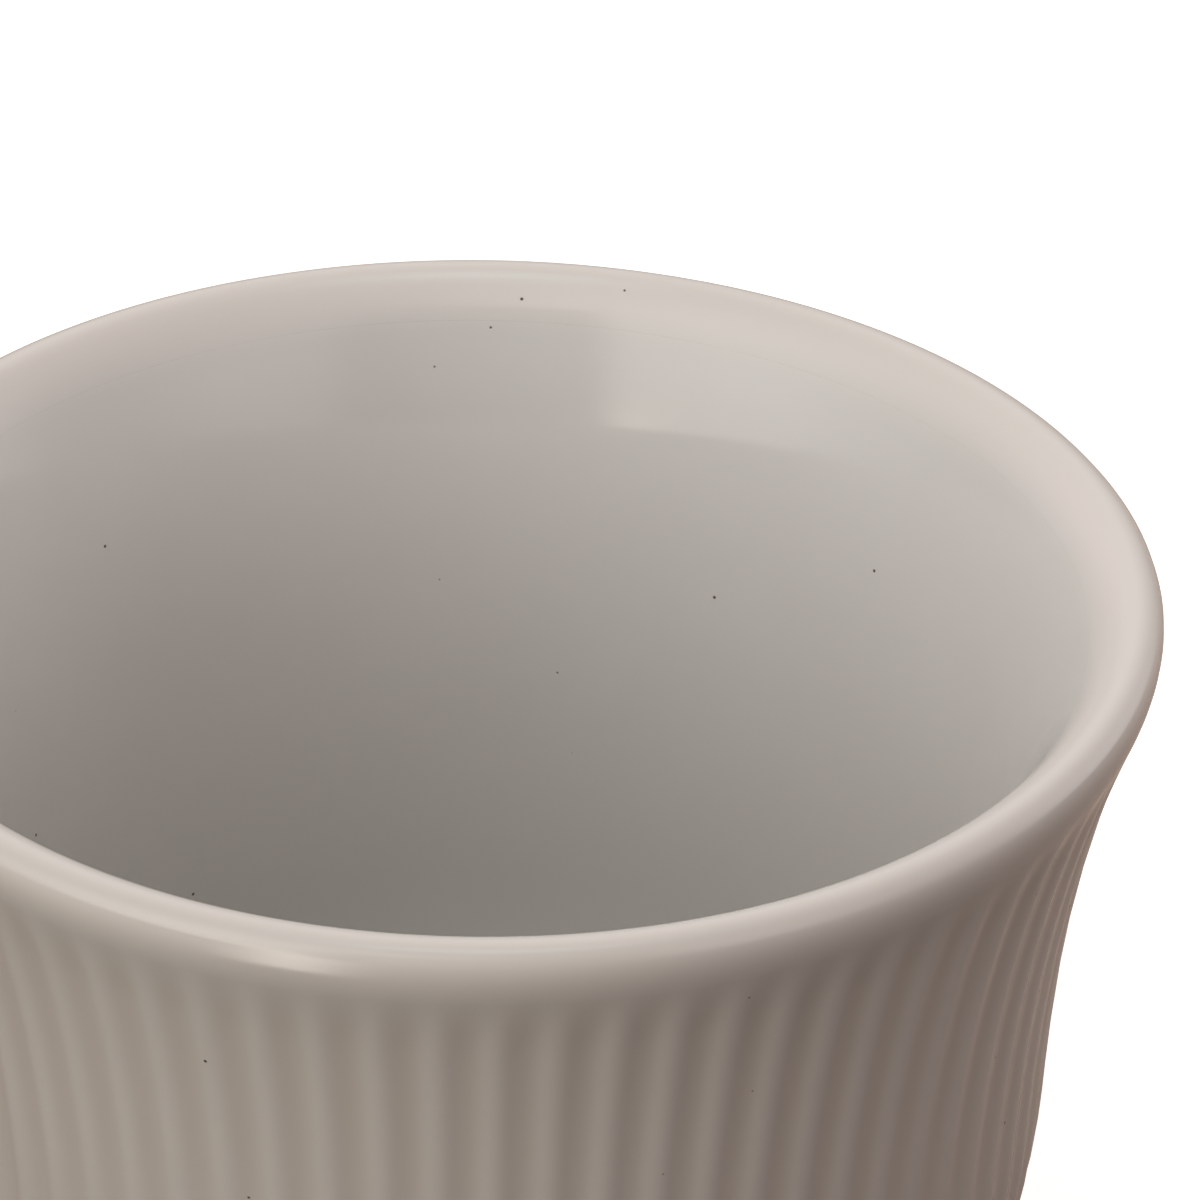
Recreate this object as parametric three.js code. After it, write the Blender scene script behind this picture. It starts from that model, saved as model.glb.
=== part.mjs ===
// Tasting cup: a small porcelain cup without a handle. The wall flares to a rounded lip, fine upright
// ribs run round the outside, and the cup stands on a foot ring. The fired clay is one solid, and each
// coat of glaze on it is another. Millimetres, +Z up, origin on the table under the middle of the foot.
import * as THREE from "three";

// Sizes over the glaze
const rimDiameter = 80;
const cupHeight = 60;
const waistDiameter = 69;
const waistHeight = 28.3;
const wallThickness = 4.1;

// The lip rounds over from its top to both sides. A drop is how far the rounding comes down on a side, and
// a reach is how far from the middle of the lip its corner would stand if it weren't rounded.
const lipOutsideReach = 2.25;
const lipOutsideDrop = 3.65;
const lipInsideReach = 1.4;
const lipInsideDrop = 2.5;

// Leans of the outline from upright, in degrees: under the lip outside and inside, at the waist, at the foot
const lipOutsideLean = 20.9;
const lipInsideLean = 31;
const waistLean = 2.45;
const bellyLean = 65;

// Inside of the cup: a flat floor, a round bowl up to a straight wall, and a flare from there to the lip
const floorHeight = 6.4;
const floorDiameter = 30;
const bowlHeight = 20;
const innerFlareHeight = 34;

// Foot ring of bare clay, with a hollow under the cup
const footDiameter = 45;
const footHeight = 3.4;
const footFillet = 1.2;
const footRingWidth = 3.4;
const footEdge = 0.5;
const footTaper = 8;
const recessDepth = 2.6;
const recessFillet = 1;
const glazeLine = 1.3;

// Glaze coats
const glazeThickness = 0.25;

// Ribs: what stands between flutes pressed into the outside. The flutes run in from the end of the lip.
const ribCount = 72;
const ribWidth = 1.2;
const fluteDepth = 0.2;
const fluteRunIn = 4;
const fluteBottomHeight = 5.2;
const fluteRunOut = 2.4;

// Steps along each stretch of the outline
const lipOutsideSteps = 3;
const lipInsideSteps = 2;
const flareSteps = 2;
const bellySteps = 4;
const innerFlareSteps = 3;
const bowlSteps = 4;
const filletSteps = 2;

const radians = THREE.MathUtils.degToRad;

// The way that the outline runs at a lean, walking down the outside, in (radius, height)
function downhill(lean) {
  return new THREE.Vector2(-Math.sin(lean), -Math.cos(lean));
}

// The outward side of the outline, for a walk from the floor up, over the lip and down the outside
function outward(along) {
  return new THREE.Vector2(-along.y, along.x);
}

// The clay's point under a point on the face of the glaze, where the outline runs a given way
function underGlaze(radius, height, way) {
  return outward(way).multiplyScalar(-glazeThickness).add(new THREE.Vector2(radius, height));
}

// A smooth stretch between two points, with the outline's way at both. Its end tangents cross at the bend.
function stretch(from, fromWay, to, toWay) {
  const gap = to.clone().sub(from);
  const bend = fromWay.clone().multiplyScalar(gap.cross(toWay) / fromWay.cross(toWay)).add(from);
  return new THREE.QuadraticBezierCurve(from, bend, to);
}

// Where a falling stretch passes a height, from 0 at its start to 1 at its end
function placeAtHeight(curve, height) {
  const bow = curve.v0.y - 2 * curve.v1.y + curve.v2.y;
  const slope = 2 * (curve.v0.y - curve.v1.y);
  const drop = curve.v0.y - height;
  return (2 * drop) / (slope + Math.sqrt(slope * slope - 4 * bow * drop));
}

// A station is a place on the clay's outline: the point, the outward side there, and whether it is fluted
function station(point, side, fluted = false) {
  return { point, side, fluted };
}

// Stations on a stretch, evenly spread from one place on it to another, both included
function stationsAlong(curve, steps, first = 0, last = 1, fluted = false) {
  const stations = [];
  for (let step = 0; step <= steps; step++) {
    const place = first + ((last - first) * step) / steps;
    stations.push(station(curve.getPoint(place), outward(curve.getTangent(place)), fluted));
  }
  return stations;
}

// Stations on a round corner, whose side turns between two angles. A hollow corner has a negative radius.
function stationsRound(centre, radius, fromAngle, toAngle, steps) {
  const stations = [];
  for (let step = 0; step <= steps; step++) {
    const angle = fromAngle + ((toAngle - fromAngle) * step) / steps;
    const side = new THREE.Vector2(Math.cos(angle), Math.sin(angle));
    stations.push(station(side.clone().multiplyScalar(radius).add(centre), side));
  }
  return stations;
}

// The lip, from its end on the inside over the top to its end on the outside
const across = new THREE.Vector2(1, 0);
const rimWay = downhill(radians(lipOutsideLean));
const mouthWay = downhill(radians(lipInsideLean)).negate();
const lipOutsideRun = lipOutsideDrop * Math.tan(radians(lipOutsideLean));
const lipInsideRun = lipInsideDrop * Math.tan(radians(lipInsideLean));
const lipOverhang = lipOutsideReach ** 2 / (lipOutsideReach + lipOutsideRun);
const lipMiddle = rimDiameter / 2 - lipOverhang;
const lipTop = underGlaze(lipMiddle, cupHeight, across);
const lipOutsideRadius = lipMiddle + lipOutsideReach - lipOutsideRun;
const lipOutside = underGlaze(lipOutsideRadius, cupHeight - lipOutsideDrop, rimWay);
const lipInsideRadius = lipMiddle - lipInsideReach - lipInsideRun;
const lipInside = underGlaze(lipInsideRadius, cupHeight - lipInsideDrop, mouthWay);
const lip = [
  ...stationsAlong(stretch(lipInside, mouthWay, lipTop, across), lipInsideSteps),
  ...stationsAlong(stretch(lipTop, across, lipOutside, rimWay), lipOutsideSteps).slice(1),
];

// The outside: a hollow flare from the lip to the waist, then a full belly from the waist to the foot
const waistWay = downhill(radians(waistLean));
const waist = underGlaze(waistDiameter / 2, waistHeight, waistWay);
const footSide = radians(footTaper);
const bellyWay = downhill(radians(bellyLean));
const footTop = new THREE.Vector2(footDiameter / 2, footHeight);
const flare = stretch(lipOutside, rimWay, waist, waistWay);
const belly = stretch(waist, waistWay, footTop, bellyWay);
const fluteFull = placeAtHeight(flare, lipOutside.y - fluteRunIn);
const fluteFading = placeAtHeight(belly, fluteBottomHeight + fluteRunOut);
const fluteEnd = placeAtHeight(belly, fluteBottomHeight);
const ribbedFlare = stationsAlong(flare, flareSteps, fluteFull, 1, true);
const ribbedBelly = stationsAlong(belly, bellySteps, 0, fluteFading, true);
const outside = [
  ...ribbedFlare,
  ...ribbedBelly.slice(1),
  ...stationsAlong(belly, 1, fluteEnd, 1),
];

// The foot ring: a fillet under the belly, a tapered side to the glaze line, then bare clay to the table
const bellySide = outward(bellyWay);
const footFilletCentre = bellySide.clone().multiplyScalar(footFillet).add(footTop);
const bellyAngle = -radians(bellyLean);
const footCorner = stationsRound(footFilletCentre, -footFillet, bellyAngle, -footSide, filletSteps);
const footCornerEnd = footCorner[filletSteps];
function onFootSide(height) {
  const inset = (footCornerEnd.point.y - height) * Math.tan(footSide);
  return new THREE.Vector2(footCornerEnd.point.x - inset, height);
}
const outerGlazeEnd = station(onFootSide(glazeLine), footCornerEnd.side);
const dipped = [...lip, ...outside, ...footCorner.slice(1), outerGlazeEnd];
const footOuterEdge = onFootSide(footEdge);
const ringInner = footOuterEdge.x - footRingWidth;
const bareFoot = [
  footOuterEdge,
  new THREE.Vector2(footOuterEdge.x - footEdge, 0),
  new THREE.Vector2(ringInner + footEdge, 0),
  new THREE.Vector2(ringInner, footEdge),
];

// The hollow under the cup: its wall from the glaze line up, a fillet, and a flat ceiling to the middle
const recessCorner = stationsRound(
  new THREE.Vector2(ringInner - recessFillet, recessDepth - recessFillet),
  -recessFillet,
  Math.PI,
  Math.PI * 1.5,
  filletSteps,
);
const recess = [
  station(new THREE.Vector2(ringInner, glazeLine), new THREE.Vector2(-1, 0)),
  ...recessCorner,
  station(new THREE.Vector2(0, recessDepth), new THREE.Vector2(0, -1)),
];

// The inside: a flat floor, a round bowl, a straight wall with the waist's lean, and a flare to the lip
const floorLevel = floorHeight - glazeThickness;
const floorEdge = new THREE.Vector2(floorDiameter / 2, floorLevel);
const uphill = waistWay.clone().negate();
const wallTop = underGlaze(waistDiameter / 2 - wallThickness, innerFlareHeight, uphill);
const wallFoot = wallTop.clone().addScaledVector(waistWay, (innerFlareHeight - bowlHeight) / uphill.y);
const bowl = stretch(floorEdge, across, wallFoot, uphill);
const innerFlare = stretch(wallTop, uphill, lipInside, mouthWay);
const inside = [
  station(new THREE.Vector2(0, floorLevel), new THREE.Vector2(0, 1)),
  ...stationsAlong(bowl, bowlSteps),
  ...stationsAlong(innerFlare, innerFlareSteps).slice(0, -1),
];

// Points of a ring: one on the axis, a plain circle with a point to each rib, or a ribbed circle with
// three to each, which are the rib's crest and the edges of the flutes on both sides of it
const ribPitch = (2 * Math.PI) / ribCount;
const halfRib = ribWidth / waistDiameter;
const onAxis = 1e-6;
function ringPoints(place, coat) {
  const crest = place.side.clone().multiplyScalar(coat).add(place.point);
  if (place.point.x < onAxis) return [new THREE.Vector3(0, 0, crest.y)];
  const flute = place.side.clone().multiplyScalar(coat - fluteDepth).add(place.point);
  const points = [];
  const add = (at, angle) => {
    points.push(new THREE.Vector3(at.x * Math.cos(angle), at.x * Math.sin(angle), at.y));
  };
  for (let rib = 0; rib < ribCount; rib++) {
    const angle = rib * ribPitch - Math.PI / 2;
    add(crest, angle);
    if (!place.fluted) continue;
    add(flute, angle + halfRib);
    add(flute, angle + ribPitch - halfRib);
  }
  return points;
}

// A surface that is built up from rings, band by band
class RingSurface {
  positions = [];
  triangles = [];

  ring(place, coat = 0) {
    const first = this.positions.length / 3;
    const points = ringPoints(place, coat);
    for (const point of points) this.positions.push(point.x, point.y, point.z);
    return { first, count: points.length };
  }

  // Joins two rings rib by rib. The second lies to the right of a walk round the axis, or left if turned.
  band(start, end, turned = false) {
    const startSteps = Math.max(1, start.count / ribCount);
    const endSteps = Math.max(1, end.count / ribCount);
    for (let rib = 0; rib < ribCount; rib++) {
      const startAt = (step) => start.first + ((rib * startSteps + step) % start.count);
      const endAt = (step) => end.first + ((rib * endSteps + step) % end.count);
      let s = start.count === 1 ? startSteps : 0;
      let e = end.count === 1 ? endSteps : 0;
      while (s < startSteps || e < endSteps) {
        const startIsBehind = (s + 0.5) / startSteps < (e + 0.5) / endSteps;
        const corners = [startAt(s), endAt(e)];
        if (e === endSteps || (s < startSteps && startIsBehind)) corners.push(startAt(++s));
        else corners.push(endAt(++e));
        this.triangles.push(...(turned ? corners.reverse() : corners));
      }
    }
  }

  bands(places, coat = 0, turned = false) {
    const rings = places.map((place) => this.ring(place, coat));
    for (let i = 1; i < rings.length; i++) this.band(rings[i - 1], rings[i], turned);
    return rings;
  }

  geometry() {
    const made = new THREE.BufferGeometry();
    made.setAttribute("position", new THREE.Float32BufferAttribute(this.positions, 3));
    made.setIndex(this.triangles);
    made.computeVertexNormals();
    return made;
  }
}

// The clay: one outline from the middle of the floor over the lip and the foot to the middle of the recess
function clayGeometry() {
  const surface = new RingSurface();
  const foot = bareFoot.map((point) => station(point, new THREE.Vector2(0, -1)));
  surface.bands([...inside, ...dipped, ...foot, ...recess]);
  return surface.geometry();
}

// A coat of glaze: its face in the air, its face on the clay, and the edges where it ends
function coatGeometry(places) {
  const surface = new RingSurface();
  const air = surface.bands(places, glazeThickness);
  const clay = surface.bands(places, 0, true);
  const last = places.length - 1;
  if (air[0].count > 1) surface.band(clay[0], air[0]);
  if (air[last].count > 1) surface.band(air[last], clay[last]);
  return surface.geometry();
}

const porcelain = new THREE.MeshStandardMaterial({ color: "#e8e0d4", roughness: 0.75, metalness: 0 });
const glaze = new THREE.MeshStandardMaterial({ color: "#e2dad2", roughness: 0.12, metalness: 0 });

const cup = new THREE.Group();

function addPiece(name, geometry, material) {
  const piece = new THREE.Mesh(geometry, material);
  piece.name = name;
  cup.add(piece);
}

addPiece("porcelain_body", clayGeometry(), porcelain);
addPiece("liner_glaze", coatGeometry([...inside, lip[0]]), glaze);
addPiece("outer_glaze", coatGeometry(dipped), glaze);
addPiece("foot_recess_glaze", coatGeometry(recess), glaze);

export default cup;
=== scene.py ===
# %% [markdown]
# # A ribbed tasting cup in glazed porcelain
#
# The cup is one fired piece of white clay with a clear coat of glaze on it. The imported solids give every
# size. This lesson builds the same cup again with the soft lip, the rounded ribs and the glassy finish that
# the solids leave out. It begins by loading the solids.

# %% Load the imported solids
import math

import bmesh
import bpy
from mathutils import Matrix, Vector
from mathutils.geometry import intersect_line_line


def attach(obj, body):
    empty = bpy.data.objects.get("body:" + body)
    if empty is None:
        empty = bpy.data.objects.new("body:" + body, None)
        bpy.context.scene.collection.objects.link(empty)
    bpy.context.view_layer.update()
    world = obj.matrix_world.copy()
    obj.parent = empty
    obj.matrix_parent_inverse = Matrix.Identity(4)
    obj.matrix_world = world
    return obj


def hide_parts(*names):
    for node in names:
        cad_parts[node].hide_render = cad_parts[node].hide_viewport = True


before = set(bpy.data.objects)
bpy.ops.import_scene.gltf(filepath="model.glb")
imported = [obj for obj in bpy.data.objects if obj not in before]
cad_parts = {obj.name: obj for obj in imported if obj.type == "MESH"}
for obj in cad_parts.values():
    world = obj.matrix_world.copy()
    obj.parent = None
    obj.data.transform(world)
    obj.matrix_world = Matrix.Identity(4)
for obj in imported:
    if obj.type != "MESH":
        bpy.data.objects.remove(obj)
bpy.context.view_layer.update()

# %% [markdown]
# ## The camera
#
# The photo was taken close up with a long lens, from about 31 degrees above the table, and it cuts off the
# cup's left side and its foot. The camera could be aimed by eye, but the curve of the rim fixes its angle
# and distance, so these were worked out from the rim. It comes first, so that every later step can be
# looked at from the same place. The camera points a little to one side of the cup, because the cup sits
# left of the middle of the picture.

# %% Place the camera
mm = 0.001
view_height = math.radians(30.86)
view_side = math.radians(1.73)
view_roll = math.radians(0.542)
view_distance = 438.8 * mm
look_at = Vector((0, 0, 58.425 * mm))
picture_width = 1200
focal_pixels = 7500
cup_pixel = 479.4

camera_data = bpy.data.cameras.new("photo_camera")
camera_data.sensor_width = 36
camera_data.lens = camera_data.sensor_width * focal_pixels / picture_width
camera = bpy.data.objects.new("photo_camera", camera_data)
bpy.context.scene.collection.objects.link(camera)
bpy.context.scene.camera = camera

away = Vector((-math.sin(view_side), -math.cos(view_side), math.tan(view_height))).normalized()
aside = math.atan2(cup_pixel - picture_width / 2, focal_pixels)
aim = away.to_track_quat("Z", "Y").to_matrix()
aim = aim @ Matrix.Rotation(view_roll, 3, "Z") @ Matrix.Rotation(aside, 3, "Y")
camera_place = look_at + view_distance * away
camera.matrix_world = Matrix.Translation(camera_place) @ aim.to_4x4()
print("camera lens", camera_data.lens, "mm, at", [round(c / mm) for c in camera_place], "mm")

# %% [markdown]
# ## The outline of the clay
#
# A potter forms a cup like this on a wheel or in a turning mould, so one outline gives the whole shape. It
# could be drawn as a curve object, but here it is a plain list of points, because each stretch then gets as
# many points as its roundness needs. A stretch is a bend between two points, and its corner lies where the
# directions at both ends cross. Points crowd together at the ends of a stretch, which keeps the shading
# straight where two pieces meet.

# %% Helpers that draw the outline
def downhill(lean):
    return Vector((-math.sin(lean), 0, -math.cos(lean)))


def crowded(steps):
    shares = [step / steps for step in range(steps + 1)]
    return [share * share * (3 - 2 * share) for share in shares]


def bend(start, start_way, end, end_way):
    corner = intersect_line_line(start, start + start_way, end, end + end_way)[0]
    return start, corner, end


def on_bend(curve, share):
    start, corner, end = curve
    return start.lerp(corner, share).lerp(corner.lerp(end, share), share)


def along(curve, steps, first=0, last=1):
    return [on_bend(curve, first + (last - first) * share) for share in crowded(steps)]


def share_at_height(curve, height):
    start, corner, end = (point.z for point in curve)
    slope = 2 * (start - corner)
    bow = start - 2 * corner + end
    drop = start - height
    return 2 * drop / (slope + math.sqrt(slope * slope - 4 * bow * drop))


def arc(centre, start, turn, steps):
    spoke = start - centre
    return [centre + Matrix.Rotation(turn * share, 3, "Y") @ spoke for share in crowded(steps)]


# %% [markdown]
# The sizes are those of the solids. Each is the size over the glaze, so the clay under it lies a coat's
# thickness deeper. The lip is a soft roll: two bends that meet level at its top, a full one outside and a
# tighter one inside. Under it the wall leans out by 21 degrees, stands almost straight at the waist, and
# then rounds in to the foot ring. What lies below the edge of the photo, the belly and the foot, is a sound
# guess.

# %% Draw the lip
rim_radius = 40 * mm
cup_height = 60 * mm
glaze_thickness = 0.25 * mm
lip_outside_reach = 2.25 * mm
lip_outside_drop = 3.65 * mm
lip_inside_reach = 1.4 * mm
lip_inside_drop = 2.5 * mm
lip_outside_lean = math.radians(20.9)
lip_inside_lean = math.radians(31)


def under_glaze(radius, height, way):
    return Vector((radius + glaze_thickness * way.z, 0, height - glaze_thickness * way.x))


across = Vector((1, 0, 0))
rim_way = downhill(lip_outside_lean)
mouth_way = -downhill(lip_inside_lean)
outside_run = lip_outside_drop * math.tan(lip_outside_lean)
inside_run = lip_inside_drop * math.tan(lip_inside_lean)
lip_middle = rim_radius - lip_outside_reach**2 / (lip_outside_reach + outside_run)
lip_top = under_glaze(lip_middle, cup_height, across)
rim_end = lip_middle + lip_outside_reach - outside_run
mouth_end = lip_middle - lip_inside_reach - inside_run
lip_outside = under_glaze(rim_end, cup_height - lip_outside_drop, rim_way)
lip_inside = under_glaze(mouth_end, cup_height - lip_inside_drop, mouth_way)
lip = along(bend(lip_inside, mouth_way, lip_top, across), steps=9)
lip += along(bend(lip_top, across, lip_outside, rim_way), steps=12)[1:]
print("lip:", len(lip), "points, top", round(lip_middle / mm, 2), "mm from the axis")

# %% Draw the outside
waist_radius = 34.5 * mm
waist_height = 28.3 * mm
waist_way = downhill(math.radians(2.45))
belly_way = downhill(math.radians(65))
foot_radius = 22.5 * mm
foot_height = 3.4 * mm
flute_top = cup_height - 2.7 * mm
flute_run_in = 4.8 * mm
flute_bottom = 5.2 * mm
flute_run_out = 2.4 * mm

waist = under_glaze(waist_radius, waist_height, waist_way)
foot_top = Vector((foot_radius, 0, foot_height))
flare = bend(lip_outside, rim_way, waist, waist_way)
belly = bend(waist, waist_way, foot_top, belly_way)
run_in = share_at_height(flare, flute_top - flute_run_in)
run_out = [share_at_height(belly, flute_bottom + rise) for rise in (flute_run_out, 0)]
outside = along(flare, steps=10, last=run_in)[1:]
outside += along(flare, steps=8, first=run_in)[1:]
outside += along(belly, steps=10, last=run_out[0])[1:]
outside += along(belly, steps=5, first=run_out[0], last=run_out[1])[1:]
outside += along(belly, steps=2, first=run_out[1])[1:]
print("outside:", len(outside), "points")

# %% Draw the inside
wall_thickness = 4.1 * mm
inner_flare_height = 34 * mm
bowl_height = 20 * mm
floor_height = 6.4 * mm
floor_radius = 15 * mm

floor_level = floor_height - glaze_thickness
floor_middle = Vector((0, 0, floor_level))
floor_edge = Vector((floor_radius, 0, floor_level))
wall_top = under_glaze(waist_radius - wall_thickness, inner_flare_height, -waist_way)
wall_foot = wall_top - waist_way * ((inner_flare_height - bowl_height) / waist_way.z)
floor = [floor_middle.lerp(floor_edge, share) for share in (0, 0.3, 0.65)]
bowl = along(bend(floor_edge, across, wall_foot, -waist_way), steps=14)
straight = [wall_foot.lerp(wall_top, share) for share in (0.25, 0.5, 0.75)]
inner_flare = along(bend(wall_top, -waist_way, lip_inside, mouth_way), steps=14)
inside = floor + bowl + straight + inner_flare
print("inside:", len(inside), "points, wall", round(wall_thickness / mm, 1), "mm thick")

# %% [markdown]
# The foot ring has a hollow fillet under the belly and a side that tapers to the table. The glaze stops 1.3
# mm above the table, so that the cup doesn't stick to the shelf of the kiln. The bare ring under it has
# rounded edges, and a shallow recess lies inside it.

# %% Draw the foot ring and the recess
foot_taper = math.radians(8)
foot_fillet = 1.2 * mm
foot_ring_width = 3.4 * mm
foot_edge = 0.5 * mm
glaze_line = 1.3 * mm
recess_depth = 2.6 * mm
recess_fillet = 1 * mm

fillet_middle = foot_top + foot_fillet * Vector((-belly_way.z, 0, belly_way.x))
fillet_turn = foot_taper - math.acos(-belly_way.z)
foot_corner = arc(fillet_middle, foot_top, fillet_turn, steps=6)
foot_way = downhill(foot_taper)


def on_foot_side(height):
    return foot_corner[-1] + foot_way * ((foot_corner[-1].z - height) / -foot_way.z)


outer_edge = on_foot_side(foot_edge)
inner_edge = outer_edge - Vector((foot_ring_width, 0, 0))
table_outer = Vector((outer_edge.x - foot_edge, 0, 0))
table_inner = Vector((inner_edge.x + foot_edge, 0, 0))
inwards = Vector((-1, 0, 0))
upwards = Vector((0, 0, 1))
bare_ring = along(bend(outer_edge, foot_way, table_outer, inwards), steps=5)
bare_ring += along(bend(table_inner, inwards, inner_edge, upwards), steps=5)
recess_start = Vector((inner_edge.x, 0, glaze_line))
recess_corner = Vector((inner_edge.x - recess_fillet, 0, recess_depth - recess_fillet))
recess_side = recess_corner - inwards * recess_fillet
recess = [recess_start] + arc(recess_corner, recess_side, -math.pi / 2, steps=6)
recess += [Vector((recess[-1].x * share, 0, recess_depth)) for share in (0.6, 0.25, 0)]
dipped_outline = lip + outside + foot_corner[1:] + [on_foot_side(glaze_line)]
print("foot ring and recess:", len(bare_ring) + len(recess), "points")
print("outline of the dipped coat:", len(dipped_outline), "points")

# %% [markdown]
# ## Turning the outline into a surface
#
# The spin operator does what the wheel does: it carries the outline round the axis. A screw modifier would
# do as well, but the flutes are pressed into the finished points, so the points are made at once. The
# outline is first carried across the width of one rib, and that strip is copied round the axis, so that
# every rib gets the same columns. Points that meet on the axis or between two strips are merged, which
# closes the surface, and then the faces are turned to look the same way.

# %% A lathe
rib_count = 72
rib_spacing = 2 * math.pi / rib_count
axis = Vector((0, 0, 1))
centre = Vector((0, 0, 0))
merge_distance = 0.001 * mm


def lathe(outline, columns_per_rib):
    mesh = bmesh.new()
    points = [mesh.verts.new(point) for point in outline]
    lines = [mesh.edges.new(pair) for pair in zip(points, points[1:])]
    bmesh.ops.spin(
        mesh, geom=points + lines, cent=centre, axis=axis, angle=rib_spacing, steps=columns_per_rib
    )
    bmesh.ops.spin(
        mesh,
        geom=mesh.verts[:] + mesh.edges[:] + mesh.faces[:],
        cent=centre,
        axis=axis,
        angle=2 * math.pi - rib_spacing,
        steps=rib_count - 1,
        use_duplicate=True,
    )
    bmesh.ops.remove_doubles(mesh, verts=mesh.verts, dist=merge_distance)
    bmesh.ops.recalc_face_normals(mesh, faces=mesh.faces)
    return mesh


# %% [markdown]
# ## Pressing the flutes
#
# Seventy-two flutes run down the outside. Up close each is a shallow hollow, and the rib between two of
# them is a narrow rounded ridge whose crest is flush with the plain band under the lip. A flute could be
# cut with a tool shape that is copied round, but the cuts would leave sharp edges. Here every point of the
# turned wall sinks by the depth that its angle gives, so the wall stays one smooth surface. Two parabolas
# make the cross section: a round crest over two fifths of the spacing and a hollow over the rest, with the
# same slope where they meet. A fifth of a millimetre is deep enough for the shade that the photo shows. The
# flutes fade in from the underside of the lip, a little higher and more softly than on the solids. The
# depth is kept on each point, so that the hollows can later be painted a little darker, as painted shade.

# %% Press flutes into a turned wall
flute_depth = 0.2 * mm
crest_share = 0.4


def flute_profile(angle):
    from_crest = abs((angle / rib_spacing + 0.5) % 1 - 0.5) * 2
    if from_crest < crest_share:
        return from_crest * from_crest / crest_share
    return (1 - (1 - from_crest) ** 2 - crest_share) / (1 - crest_share)


def fade(value):
    value = min(max(value, 0), 1)
    return value * value * (3 - 2 * value)


def press_flutes(mesh):
    # The share of the flute's depth is kept, and later also masks the painted shade in the hollows.
    depth_and_shade = mesh.verts.layers.float.new("flute")
    mesh.normal_update()
    sunk = []
    for point in mesh.verts:
        radial = Vector((point.co.x, point.co.y, 0))
        if point.normal.dot(radial) <= 0:
            continue
        below_top = fade((flute_top - point.co.z) / flute_run_in)
        above_foot = fade((point.co.z - flute_bottom) / flute_run_out)
        angle = math.atan2(point.co.y, point.co.x) + math.pi / 2
        point[depth_and_shade] = flute_profile(angle) * below_top * above_foot
        sunk.append((point, point.co - point.normal * flute_depth * point[depth_and_shade]))
    for point, place in sunk:
        point.co = place


# %% [markdown]
# ## Making a piece
#
# A finished surface becomes an object that rides with the cup's one body and stands for its solid. Smooth
# shading suits the whole cup, apart from the thin edges where a coat of glaze ends, so every edge sharper
# than 40 degrees stays crisp.

# %% Turn a surface into a piece
crisp_angle = math.radians(40)


def make_piece(name, mesh, node):
    data = bpy.data.meshes.new(name)
    mesh.to_mesh(data)
    mesh.free()
    data.shade_smooth()
    data.set_sharp_from_angle(angle=crisp_angle)
    piece = bpy.data.objects.new(name, data)
    bpy.context.scene.collection.objects.link(piece)
    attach(piece, "root")
    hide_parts(node)
    data.calc_loop_triangles()
    print(name, "has", len(data.loop_triangles), "triangles")
    return piece


# %% [markdown]
# ## The clay
#
# The fired clay is one closed body: up the inside, over the lip, down the ribbed outside, round the bare
# foot ring and across the recess. Only the foot ring stays in sight. Four columns to each rib are enough
# under the glaze.

# %% Turn the clay body
clay_outline = inside + lip[1:] + outside + foot_corner[1:] + bare_ring + recess
clay_mesh = lathe(clay_outline, columns_per_rib=4)
press_flutes(clay_mesh)
clay = make_piece("clay_body", clay_mesh, "porcelain_body")

# %% [markdown]
# ## The coats of glaze
#
# The glaze is a quarter of a millimetre thick. Each coat starts from the face of the clay that it covers,
# and solidify raises it from there, so that it fits the clay without any fitting. The outer coat shows the
# ribs, so it gets ten columns to a rib. It goes over the lip and meets the coat of the inside there, as it
# does when a cup is dipped.

# %% Raise the coats from the clay
outer_mesh = lathe(dipped_outline, columns_per_rib=10)
press_flutes(outer_mesh)
bmesh.ops.reverse_faces(outer_mesh, faces=outer_mesh.faces)
bmesh.ops.solidify(outer_mesh, geom=outer_mesh.faces[:], thickness=glaze_thickness)
outer_coat = make_piece("outer_coat", outer_mesh, "outer_glaze")

inner_mesh = lathe(inside, columns_per_rib=4)
bmesh.ops.solidify(inner_mesh, geom=inner_mesh.faces[:], thickness=glaze_thickness)
inner_coat = make_piece("inner_coat", inner_mesh, "liner_glaze")

recess_mesh = lathe(recess, columns_per_rib=4)
bmesh.ops.solidify(recess_mesh, geom=recess_mesh.faces[:], thickness=glaze_thickness)
recess_coat = make_piece("recess_coat", recess_mesh, "foot_recess_glaze")

# %% [markdown]
# ## Helpers for the finishes
#
# A colour is written as it looks on a screen, and the renderer needs it in linear light, so one function
# turns the one into the other. Another adds a node with its settings and links in one line, which keeps
# each finish short.

# %% Colours and nodes
def linear(hex_colour):
    channels = [int(hex_colour[at : at + 2], 16) / 255 for at in (1, 3, 5)]
    return [c / 12.92 if c <= 0.04045 else ((c + 0.055) / 1.055) ** 2.4 for c in channels] + [1]


def add_node(tree, kind, links=(), inputs=(), **settings):
    node = tree.nodes.new(kind)
    for name, value in settings.items():
        setattr(node, name, value)
    for name, value in dict(inputs).items():
        node.inputs[name].default_value = value
    for name, socket in dict(links).items():
        tree.links.new(socket, node.inputs[name])
    return node


def new_material(name):
    material = bpy.data.materials.new(name)
    material.use_nodes = True
    material.node_tree.nodes.clear()
    return material
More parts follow.
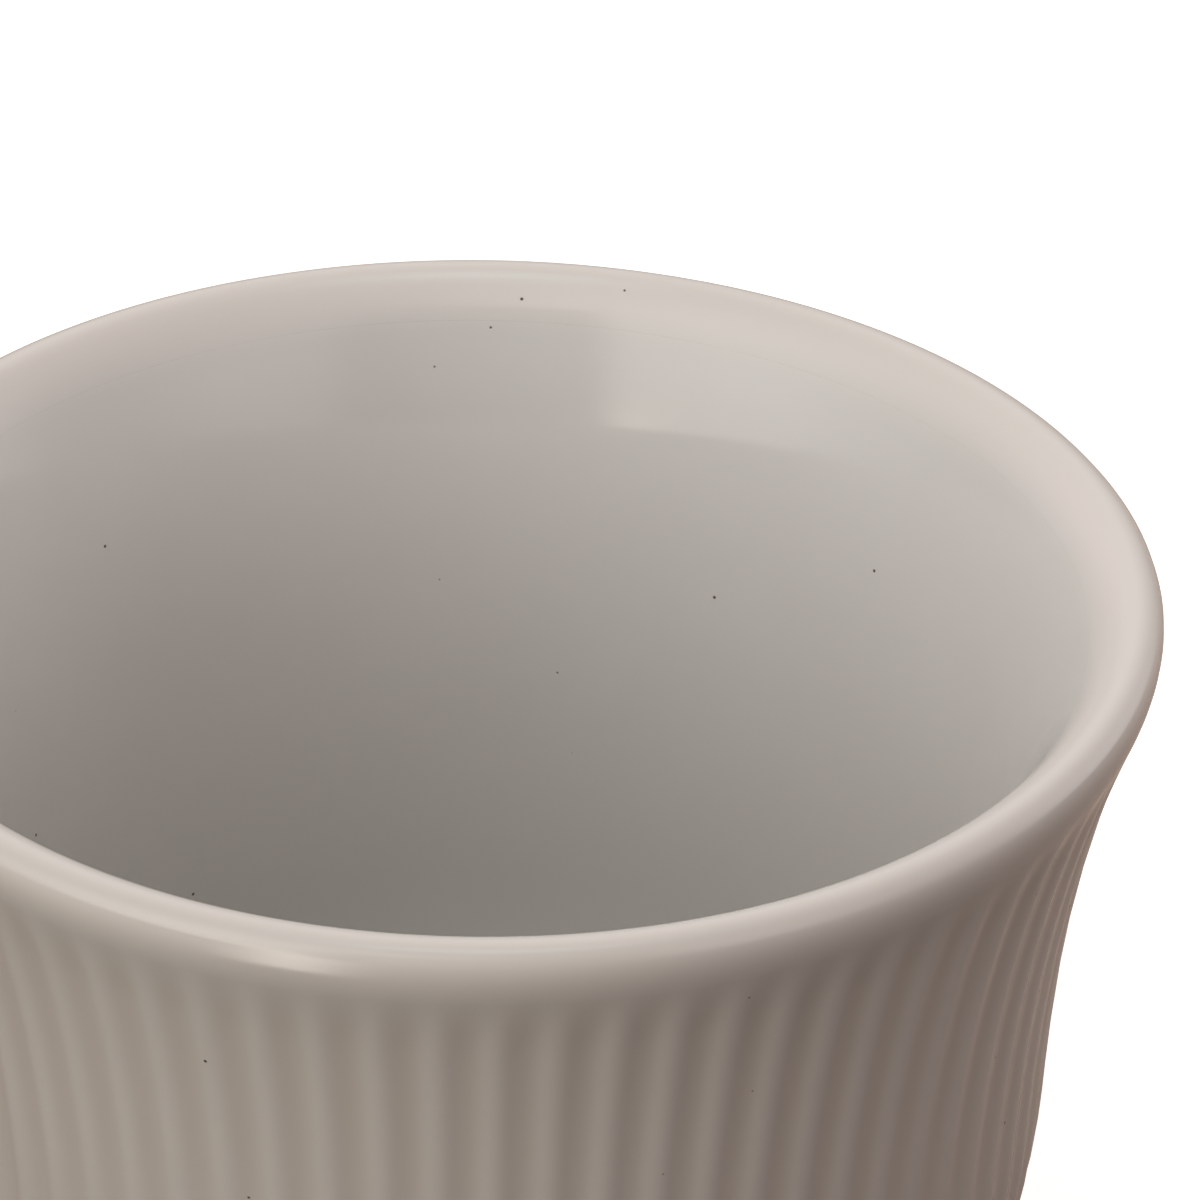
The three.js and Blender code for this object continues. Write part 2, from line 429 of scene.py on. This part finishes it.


# %% [markdown]
# ## The glaze
#
# Clear feldspar glaze over white porcelain looks like one milky glass: a soft white with a sharp gloss on
# top. The gloss comes from an index of refraction of about 1.5. The white is never quite even, so a slow
# cloud a dozen millimetres wide shifts it by a percent or two. The top of the lip is painted lighter, a
# painted light. Low on the walls and in the flutes the glaze is painted a little darker and warmer, a
# painted shade. These shades could be painted on the points, but a mix that follows height and depth stays
# smooth from near and far.

# %% The colour of one coat
cloud_width = 12 * mm
# Painted shade: the glaze turns darker from 44 mm down to 18 mm above the table.
low_shade_range = (44 * mm, 18 * mm)
# Painted light: the top of the lip turns lighter over its last 3.5 mm.
lip_light_range = (cup_height - 3.5 * mm, cup_height - 0.3 * mm)
# The inside's shades: a cloud between dim and bright, a painted shade low on the wall and a painted light
# on top of the lip.
poured_shades = {"dim": "#e0dedb", "bright": "#e6e5e2", "low_painted_shade": "#dcd9d5", "lip_painted_light": "#f3eee9"}
# The outside's shades: the same glaze painted darker and warmer all over as painted shade, with a painted
# shade low down and a weaker painted light on the lip.
outside_painted_shades = {"dim": "#dbd5ce", "bright": "#e1dbd4", "low_painted_shade": "#d3ccc4", "lip_painted_light": "#eae4de"}


def coat_colour(tree, cloud, height, shades):
    ends = {"A": linear(shades["dim"]), "B": linear(shades["bright"])}
    colour = add_node(tree, "ShaderNodeMix", {"Factor": cloud}, ends, data_type="RGBA").outputs["Result"]
    # The shade low on the wall and the light on top of the lip are painted into the colour.
    for name, (start, end) in (("low_painted_shade", low_shade_range), ("lip_painted_light", lip_light_range)):
        share = add_node(
            tree,
            "ShaderNodeMapRange",
            {"Value": height},
            {"From Min": start, "From Max": end},
            interpolation_type="SMOOTHSTEP",
        ).outputs["Result"]
        links = {"Factor": share, "A": colour}
        shade = {"B": linear(shades[name])}
        colour = add_node(tree, "ShaderNodeMix", links, shade, data_type="RGBA").outputs["Result"]
    return colour


# %% [markdown]
# The outside is painted a touch darker and warmer than the inside, as painted shade. The two coats run
# together on the lip. There the outer coat starts with the colour of the inside and changes to the painted
# shade of the outside on the way over the lip, so no seam shows. A place is past the lip once it is far
# enough from the axis or low enough under the rim.

# %% Where the painted shade of the outside begins
lip_blend = 0.4 * mm


def past_lip(tree, place):
    flat = add_node(tree, "ShaderNodeCombineXYZ", {"X": place["X"], "Y": place["Y"]}).outputs["Vector"]
    radius = add_node(tree, "ShaderNodeVectorMath", {0: flat}, operation="LENGTH").outputs["Value"]
    ranges = (
        (radius, lip_middle - lip_blend, rim_radius),
        (place["Z"], cup_height - lip_inside_drop, cup_height - lip_outside_drop),
    )
    shares = []
    for value, start, end in ranges:
        share = add_node(
            tree,
            "ShaderNodeMapRange",
            {"Value": value},
            {"From Min": start, "From Max": end},
            interpolation_type="SMOOTHSTEP",
        )
        shares.append(share.outputs["Result"])
    links = {0: shares[0], 1: shares[1]}
    return add_node(tree, "ShaderNodeMath", links, operation="MAXIMUM").outputs["Value"]


# %% [markdown]
# Tiny grains of iron in the clay burn to dark specks under the glaze. A speck is drawn round the middle of
# each cell of a cell pattern that lies close enough to the surface.

# %% The colour of the glaze with flutes and specks
# Painted shade in the flutes: the deeper a point lies in its hollow, the darker and warmer it is painted.
flute_painted_shade = "#d4ccc3"
speck_shade = "#5a4a40"
speck_spacing = 4 * mm
speck_radius = 0.136 * mm
speck_heart = 0.072 * mm


def glaze_colour(tree, where, cloud, dipped):
    place = add_node(tree, "ShaderNodeSeparateXYZ", {"Vector": where}).outputs
    colour = coat_colour(tree, cloud, place["Z"], poured_shades)
    stains = []
    if dipped:
        # Past the lip the outside's colour with its painted shade takes over.
        shaded_outside_colour = coat_colour(tree, cloud, place["Z"], outside_painted_shades)
        links = {"Factor": past_lip(tree, place), "A": colour, "B": shaded_outside_colour}
        colour = add_node(tree, "ShaderNodeMix", links, data_type="RGBA").outputs["Result"]
        # Painted shade in the hollows of the flutes, by their depth.
        depth = add_node(tree, "ShaderNodeAttribute", attribute_name="flute").outputs["Fac"]
        stains.append((depth, flute_painted_shade))
    grain = add_node(
        tree, "ShaderNodeTexVoronoi", {"Vector": where}, {"Scale": 1 / speck_spacing, "Randomness": 1.0}
    ).outputs["Distance"]
    speck = add_node(
        tree,
        "ShaderNodeMapRange",
        {"Value": grain},
        {"From Min": speck_radius / speck_spacing, "From Max": speck_heart / speck_spacing},
        interpolation_type="SMOOTHSTEP",
    ).outputs["Result"]
    stains.append((speck, speck_shade))
    for share, stain in stains:
        links = {"Factor": share, "A": colour}
        shade = {"B": linear(stain)}
        colour = add_node(tree, "ShaderNodeMix", links, shade, data_type="RGBA").outputs["Result"]
    return colour


# %% [markdown]
# A faint waviness of the melted surface bends the reflections. Its real ripples are too fine to see here,
# so they are drawn a few millimetres wide. Where the cloud is bright the gloss is a little softer.

# %% Clear glaze over porcelain
ripple_width = 3 * mm
ripple_height = 0.01 * mm


def glaze_finish(name, dipped):
    material = new_material(name)
    tree = material.node_tree
    where = add_node(tree, "ShaderNodeTexCoord").outputs["Object"]
    cloud = add_node(
        tree,
        "ShaderNodeTexNoise",
        {"Vector": where},
        {"Scale": 1 / cloud_width, "Detail": 2.0, "Roughness": 0.5},
    ).outputs["Fac"]
    ripple = add_node(
        tree, "ShaderNodeTexNoise", {"Vector": where}, {"Scale": 1 / ripple_width, "Detail": 1.0}
    ).outputs["Fac"]
    waves = add_node(
        tree, "ShaderNodeBump", {"Height": ripple}, {"Strength": 0.2, "Distance": ripple_height}
    ).outputs["Normal"]
    gloss = add_node(
        tree, "ShaderNodeMapRange", {"Value": cloud}, {"To Min": 0.05, "To Max": 0.1}
    ).outputs["Result"]
    glass = add_node(
        tree,
        "ShaderNodeBsdfPrincipled",
        {"Base Color": glaze_colour(tree, where, cloud, dipped), "Roughness": gloss, "Normal": waves},
        {"IOR": 1.5},
    )
    add_node(tree, "ShaderNodeOutputMaterial", {"Surface": glass.outputs["BSDF"]})
    return material


outer_coat.data.materials.append(glaze_finish("clear_glaze_on_ribs", dipped=True))
plain_glaze = glaze_finish("clear_glaze", dipped=False)
for coat in (inner_coat, recess_coat):
    coat.data.materials.append(plain_glaze)
print("glazed:", outer_coat.name, inner_coat.name, recess_coat.name)

# %% [markdown]
# ## The bare clay
#
# Where the foot ring has no glaze, the fired porcelain shows: a dull warm white that was ground smooth,
# with a fine grit and a faint grey from the tables that it stood on. The grit is really a few hundredths of
# a millimetre, too fine to see, so it is drawn at a third of a millimetre.

# %% Bare fired porcelain
grit_width = 0.35 * mm
grit_height = 0.03 * mm
wear_width = 5 * mm

bare = new_material("bare_fired_porcelain")
tree = bare.node_tree
where = add_node(tree, "ShaderNodeTexCoord").outputs["Object"]
grit = add_node(
    tree, "ShaderNodeTexNoise", {"Vector": where}, {"Scale": 1 / grit_width, "Detail": 3.0}
).outputs["Fac"]
wear = add_node(
    tree, "ShaderNodeTexNoise", {"Vector": where}, {"Scale": 1 / wear_width, "Detail": 4.0}
).outputs["Fac"]
worn = add_node(
    tree, "ShaderNodeMapRange", {"Value": wear}, {"From Min": 0.5, "From Max": 0.75, "To Max": 0.5}
).outputs["Result"]
clay_white = add_node(
    tree,
    "ShaderNodeMix",
    {"Factor": grit},
    {"A": linear("#ddd4c8"), "B": linear("#eae3d9")},
    data_type="RGBA",
).outputs["Result"]
clay_colour = add_node(
    tree,
    "ShaderNodeMix",
    {"Factor": worn, "A": clay_white},
    {"B": linear("#c4b9ab")},
    data_type="RGBA",
).outputs["Result"]
rough = add_node(
    tree, "ShaderNodeBump", {"Height": grit}, {"Strength": 0.5, "Distance": grit_height}
).outputs["Normal"]
dull = add_node(
    tree,
    "ShaderNodeBsdfPrincipled",
    {"Base Color": clay_colour, "Normal": rough},
    {"Roughness": 0.75, "IOR": 1.5},
)
add_node(tree, "ShaderNodeOutputMaterial", {"Surface": dull.outputs["BSDF"]})
clay.data.materials.append(bare)
print("bare clay:", clay.name)

# %% [markdown]
# ## The ground
#
# The photo shows the cup on pure white. A white floor all round would throw so much light up at the ribs
# that they would lose their shade, and the cup in the photo shows that its table was dark in front and
# bright behind, with one bright streak at the front left that shines on the lip. So the floor is two things
# at once: to the camera it is paper that glows up to white and still takes the cup's shadow, and to every
# other ray it is a table that glows like that one. The light path node tells the two apart. The streak is
# strongest for rays that a glossy face mirrors, because it has to shine on the lip without washing the
# shade out of the ribs.
#
# A glow is brightest in one direction and fades from there without an edge: the cosine of the angle from
# its middle, raised to a power that says how narrow it is. Directions are a height above the table and a
# side, which is counted in degrees to the right from the viewer's side.

# %% Helpers for glows
def seen_by_camera(tree):
    path = add_node(tree, "ShaderNodeLightPath").outputs
    links = {0: path["Is Camera Ray"], 1: path["Is Transmission Ray"]}
    return add_node(tree, "ShaderNodeMath", links, operation="MAXIMUM").outputs["Value"]


def closeness(tree, direction, height, side):
    rise, turn = math.radians(height), math.radians(side)
    middle = (math.cos(rise) * math.sin(turn), -math.cos(rise) * math.cos(turn), math.sin(rise))
    cosine = add_node(tree, "ShaderNodeVectorMath", {0: direction}, {1: middle}, operation="DOT_PRODUCT")
    return cosine.outputs["Value"]


def glow(tree, nearness, sharpness, colour, strength):
    facing = add_node(tree, "ShaderNodeMath", {0: nearness}, {1: 0.0}, operation="MAXIMUM")
    links = {0: facing.outputs["Value"]}
    spread = add_node(tree, "ShaderNodeMath", links, {1: sharpness}, operation="POWER")
    links = {"Scale": spread.outputs["Value"]}
    tint = [channel * strength for channel in linear(colour)[:3]]
    return add_node(tree, "ShaderNodeVectorMath", links, {0: tint}, operation="SCALE").outputs["Vector"]


# %% Lay the floor
floor_reach = 3

floor_mesh = bmesh.new()
bmesh.ops.create_grid(floor_mesh, x_segments=1, y_segments=1, size=floor_reach)
ground_data = bpy.data.meshes.new("ground")
floor_mesh.to_mesh(ground_data)
floor_mesh.free()
ground = bpy.data.objects.new("ground", ground_data)
bpy.context.scene.collection.objects.link(ground)
print("floor:", [round(side, 1) for side in ground.dimensions[:2]], "m")

# %% The table that lights the cup
# Each glow has a sharpness, a colour and a strength.
table_glow = (2.0, "#ffdfcb", 0.54)
streak_glow = (110.0, "#fff8ee", 4.4)
streak_side = 332
streak_near, streak_far = 85 * mm, 110 * mm
streak_unmirrored = 0.36

paper = new_material("white_ground")
tree = paper.node_tree
where = add_node(tree, "ShaderNodeTexCoord").outputs["Object"]
outwards = add_node(tree, "ShaderNodeVectorMath", {0: where}, operation="NORMALIZE").outputs["Vector"]
behind = add_node(
    tree, "ShaderNodeMapRange", {"Value": closeness(tree, outwards, 0, 180)}, {"From Min": -1.0}
).outputs["Result"]
distance = add_node(tree, "ShaderNodeVectorMath", {0: where}, operation="LENGTH").outputs["Value"]
off_the_cup = add_node(
    tree,
    "ShaderNodeMapRange",
    {"Value": distance},
    {"From Min": streak_near, "From Max": streak_far},
    interpolation_type="SMOOTHSTEP",
).outputs["Result"]
mirrored = add_node(tree, "ShaderNodeLightPath").outputs["Is Glossy Ray"]
weight = add_node(
    tree, "ShaderNodeMapRange", {"Value": mirrored}, {"To Min": streak_unmirrored}
).outputs["Result"]
share = add_node(
    tree, "ShaderNodeMath", {0: off_the_cup, 1: weight}, operation="MULTIPLY"
).outputs["Value"]
streak = glow(tree, closeness(tree, outwards, 0, streak_side), *streak_glow)
streak = add_node(
    tree, "ShaderNodeVectorMath", {0: streak, "Scale": share}, operation="SCALE"
).outputs["Vector"]
links = {0: glow(tree, behind, *table_glow), 1: streak}
lit = add_node(tree, "ShaderNodeVectorMath", links, operation="ADD").outputs["Vector"]
table = add_node(tree, "ShaderNodeEmission", {"Color": lit}).outputs["Emission"]
print("the table's streak starts", round(streak_near / mm), "mm from the axis")

# %% The paper that the camera sees
paper_glow = 0.55

shaded = add_node(tree, "ShaderNodeBsdfDiffuse", inputs={"Color": linear("#ffffff")})
lift = add_node(tree, "ShaderNodeEmission", inputs={"Color": linear("#ffffff"), "Strength": paper_glow})
white = add_node(tree, "ShaderNodeAddShader", {0: shaded.outputs["BSDF"], 1: lift.outputs["Emission"]})
links = {"Fac": seen_by_camera(tree), 1: table, 2: white.outputs["Shader"]}
two_looks = add_node(tree, "ShaderNodeMixShader", links)
add_node(tree, "ShaderNodeOutputMaterial", {"Surface": two_looks.outputs["Shader"]})
ground_data.materials.append(paper)
print("floor finish:", paper.name)

# %% [markdown]
# ## The light
#
# The shading in the photo tells where its light came from: a large window in front on the left with a
# bright sill and the wall round it, paler walls on the other sides, a white backdrop and a cool light from
# straight above. Lamps could stand in for these, but they would mirror in the glaze with hard edges, so
# each is a glow of the world.

# %% Light the room
# Each light has the height and the side of its middle in degrees, a sharpness, a colour and a strength.
room_lights = {
    "window": (25, 315, 12.0, "#fffdf9", 0.3),
    "window_wall": (15, 315, 4.0, "#fffaf2", 1.93),
    "window_sill": (1, 329, 110.0, "#fff2e0", 2.64),
    "front_wall": (25, 350, 14.0, "#fff3ea", 0.4),
    "window_top": (50, 330, 10.0, "#fbf4ff", 0.5),
    "right_wall": (15, 45, 9.0, "#ffe9e5", 1.22),
    "right_back_wall": (12, 112, 9.0, "#fff7f5", 1.55),
    "left_back_wall": (15, 225, 9.0, "#ffe8f0", 0.75),
    "backdrop": (30, 180, 8.0, "#fffbf6", 1.1),
    "backdrop_top": (60, 180, 10.0, "#ffe0d2", 0.62),
    "ceiling": (90, 0, 40.0, "#d2fdff", 1.73),
}

world = bpy.data.worlds.new("white_room")
bpy.context.scene.world = world
world.use_nodes = True
tree = world.node_tree
tree.nodes.clear()
direction = add_node(tree, "ShaderNodeTexCoord").outputs["Generated"]
total = add_node(tree, "ShaderNodeCombineXYZ").outputs["Vector"]
for height, side, sharpness, colour, strength in room_lights.values():
    light = glow(tree, closeness(tree, direction, height, side), sharpness, colour, strength)
    links = {0: total, 1: light}
    total = add_node(tree, "ShaderNodeVectorMath", links, operation="ADD").outputs["Vector"]
print("lights of the room:", ", ".join(room_lights))

# %% [markdown]
# The back of the bowl mirrors a darker patch. It is the place that the photo was taken from, which holds
# back most of the light from its part of the room. The patch ends at both sides and at the top, and it
# fades over a few degrees there.

# %% Darken the place of the viewer
viewer_shade = 0.2
viewer_sides = [math.radians(side) for side in (20, 32)]
viewer_heights = [math.sin(math.radians(height)) for height in (41, 45)]

way = add_node(tree, "ShaderNodeSeparateXYZ", {"Vector": direction}).outputs
forwards = add_node(
    tree, "ShaderNodeMath", {0: way["Y"]}, {1: -1.0}, operation="MULTIPLY"
).outputs["Value"]
turn = add_node(
    tree, "ShaderNodeMath", {0: way["X"], 1: forwards}, operation="ARCTAN2"
).outputs["Value"]
off_front = add_node(tree, "ShaderNodeMath", {0: turn}, operation="ABSOLUTE").outputs["Value"]
clear = []
for value, (start, end) in ((off_front, viewer_sides), (way["Z"], viewer_heights)):
    limits = {"From Min": start, "From Max": end, "To Min": viewer_shade}
    kept = add_node(tree, "ShaderNodeMapRange", {"Value": value}, limits, interpolation_type="SMOOTHSTEP")
    clear.append(kept.outputs["Result"])
passed = add_node(
    tree, "ShaderNodeMath", {0: clear[0], 1: clear[1]}, operation="MAXIMUM"
).outputs["Value"]
total = add_node(
    tree, "ShaderNodeVectorMath", {0: total, "Scale": passed}, operation="SCALE"
).outputs["Vector"]
print("the viewer lets", viewer_shade, "of the light through")

# %% [markdown]
# Behind the cup the photo is plain white. A white room would give that at once, but it would mirror in the
# glaze and hide the darker patch. So only the camera sees white, and every other ray sees the room. The
# colours go to the picture as they are, without a film look.

# %% Show white behind the cup
room = add_node(tree, "ShaderNodeBackground", {"Color": total}).outputs["Background"]
white_behind = add_node(
    tree, "ShaderNodeBackground", inputs={"Color": linear("#ffffff"), "Strength": 1.0}
).outputs["Background"]
links = {"Fac": seen_by_camera(tree), 1: room, 2: white_behind}
two_looks = add_node(tree, "ShaderNodeMixShader", links)
add_node(tree, "ShaderNodeOutputWorld", {"Surface": two_looks.outputs["Shader"]})
bpy.context.scene.view_settings.view_transform = "Standard"
print("world:", world.name, "with", len(tree.nodes), "nodes")
